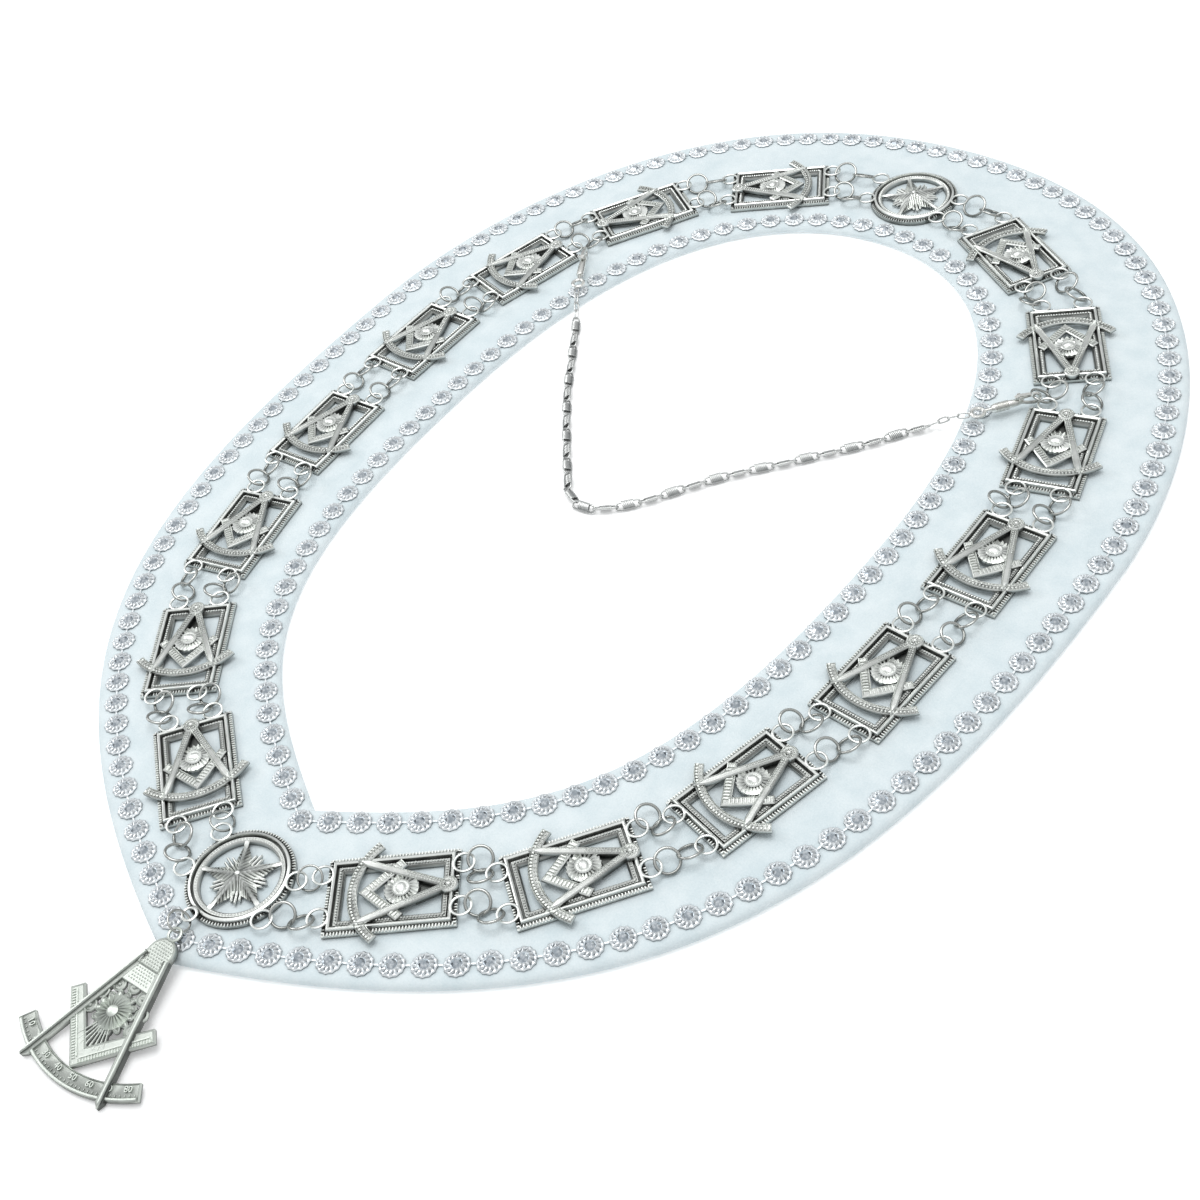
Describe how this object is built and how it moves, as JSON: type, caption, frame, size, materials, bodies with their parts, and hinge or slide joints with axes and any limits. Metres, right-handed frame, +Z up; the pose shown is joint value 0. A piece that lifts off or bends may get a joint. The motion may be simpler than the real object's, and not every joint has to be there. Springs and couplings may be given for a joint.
{
  "type": "regalia chain collar",
  "caption": "Egg-shaped padded white velvet collar with stone trims, a chain of silver-coloured cast links with compasses and square, a hanging jewel and a fine neck chain.",
  "frame": {"origin": "middle of the footprint of the laid-out collar, on the surface it lies on", "axes": "+Y from the jewel to the back of the neck, +X across the collar, +Z up"},
  "size_m": [0.383, 0.5857, 0.0123],
  "materials": {
    "white_velvet": "matt pile",
    "stone_trim": "bright stamped settings with clear faceted stones",
    "cast_silver": "plated casting, bright on the ridges and darker in the grooves",
    "jewel_silver": "plated casting, satin field with bright edges",
    "ring_wire": "bright drawn wire",
    "chain_wire": "bright fine chain",
    "clasp_metal": "satin plated"
  },
  "bodies": {
    "collar": {"backing": "white_velvet", "outer_trim": "stone_trim", "inner_trim": "stone_trim", "right_link_1": "cast_silver", "right_link_2": "cast_silver", "right_link_3": "cast_silver", "right_link_4": "cast_silver", "right_link_5": "cast_silver", "right_link_6": "cast_silver", "right_link_7": "cast_silver", "right_link_8": "cast_silver", "left_link_1": "cast_silver", "left_link_2": "cast_silver", "left_link_3": "cast_silver", "left_link_4": "cast_silver", "left_link_5": "cast_silver", "left_link_6": "cast_silver", "left_link_7": "cast_silver", "left_link_8": "cast_silver", "front_star_link": "cast_silver", "back_star_link": "cast_silver", "right_inner_rings_1_2": "ring_wire", "left_inner_rings_1_2": "ring_wire", "right_outer_rings_1_2": "ring_wire", "left_outer_rings_1_2": "ring_wire", "right_inner_rings_2_3": "ring_wire", "left_inner_rings_2_3": "ring_wire", "right_outer_rings_2_3": "ring_wire", "left_outer_rings_2_3": "ring_wire", "right_inner_rings_3_4": "ring_wire", "left_inner_rings_3_4": "ring_wire", "right_outer_rings_3_4": "ring_wire", "left_outer_rings_3_4": "ring_wire", "right_inner_rings_4_5": "ring_wire", "left_inner_rings_4_5": "ring_wire", "right_outer_rings_4_5": "ring_wire", "left_outer_rings_4_5": "ring_wire", "right_inner_rings_5_6": "ring_wire", "left_inner_rings_5_6": "ring_wire", "right_outer_rings_5_6": "ring_wire", "left_outer_rings_5_6": "ring_wire", "right_inner_rings_6_7": "ring_wire", "left_inner_rings_6_7": "ring_wire", "right_outer_rings_6_7": "ring_wire", "left_outer_rings_6_7": "ring_wire", "right_inner_rings_7_8": "ring_wire", "left_inner_rings_7_8": "ring_wire", "right_outer_rings_7_8": "ring_wire", "left_outer_rings_7_8": "ring_wire", "right_inner_ring_front": "ring_wire", "left_inner_ring_front": "ring_wire", "jewel": "jewel_silver", "jewel_ring": "ring_wire", "neck_chain": "chain_wire", "right_clasp_body": "clasp_metal", "left_clasp_body": "clasp_metal"},
    "right_lever": {"right_clasp_lever": "clasp_metal"},
    "left_lever": {"left_clasp_lever": "clasp_metal"}
  },
  "joints": [
    {"name": "right_clasp_lever_hinge", "type": "hinge", "parent": "collar", "child": "right_lever", "pos_m": [0.11535, 0.13745, 0.0105], "axis": [-0.764, 0.6452, 0], "range_deg": [0, 18], "stiffness_Nm_per_rad": 0.0005, "springref_deg": -17.19},
    {"name": "left_clasp_lever_hinge", "type": "hinge", "parent": "collar", "child": "left_lever", "pos_m": [-0.11343, 0.13466, 0.0105], "axis": [-0.8615, -0.5077, 0], "range_deg": [0, 18], "stiffness_Nm_per_rad": 0.0005, "springref_deg": -17.19}
  ]
}
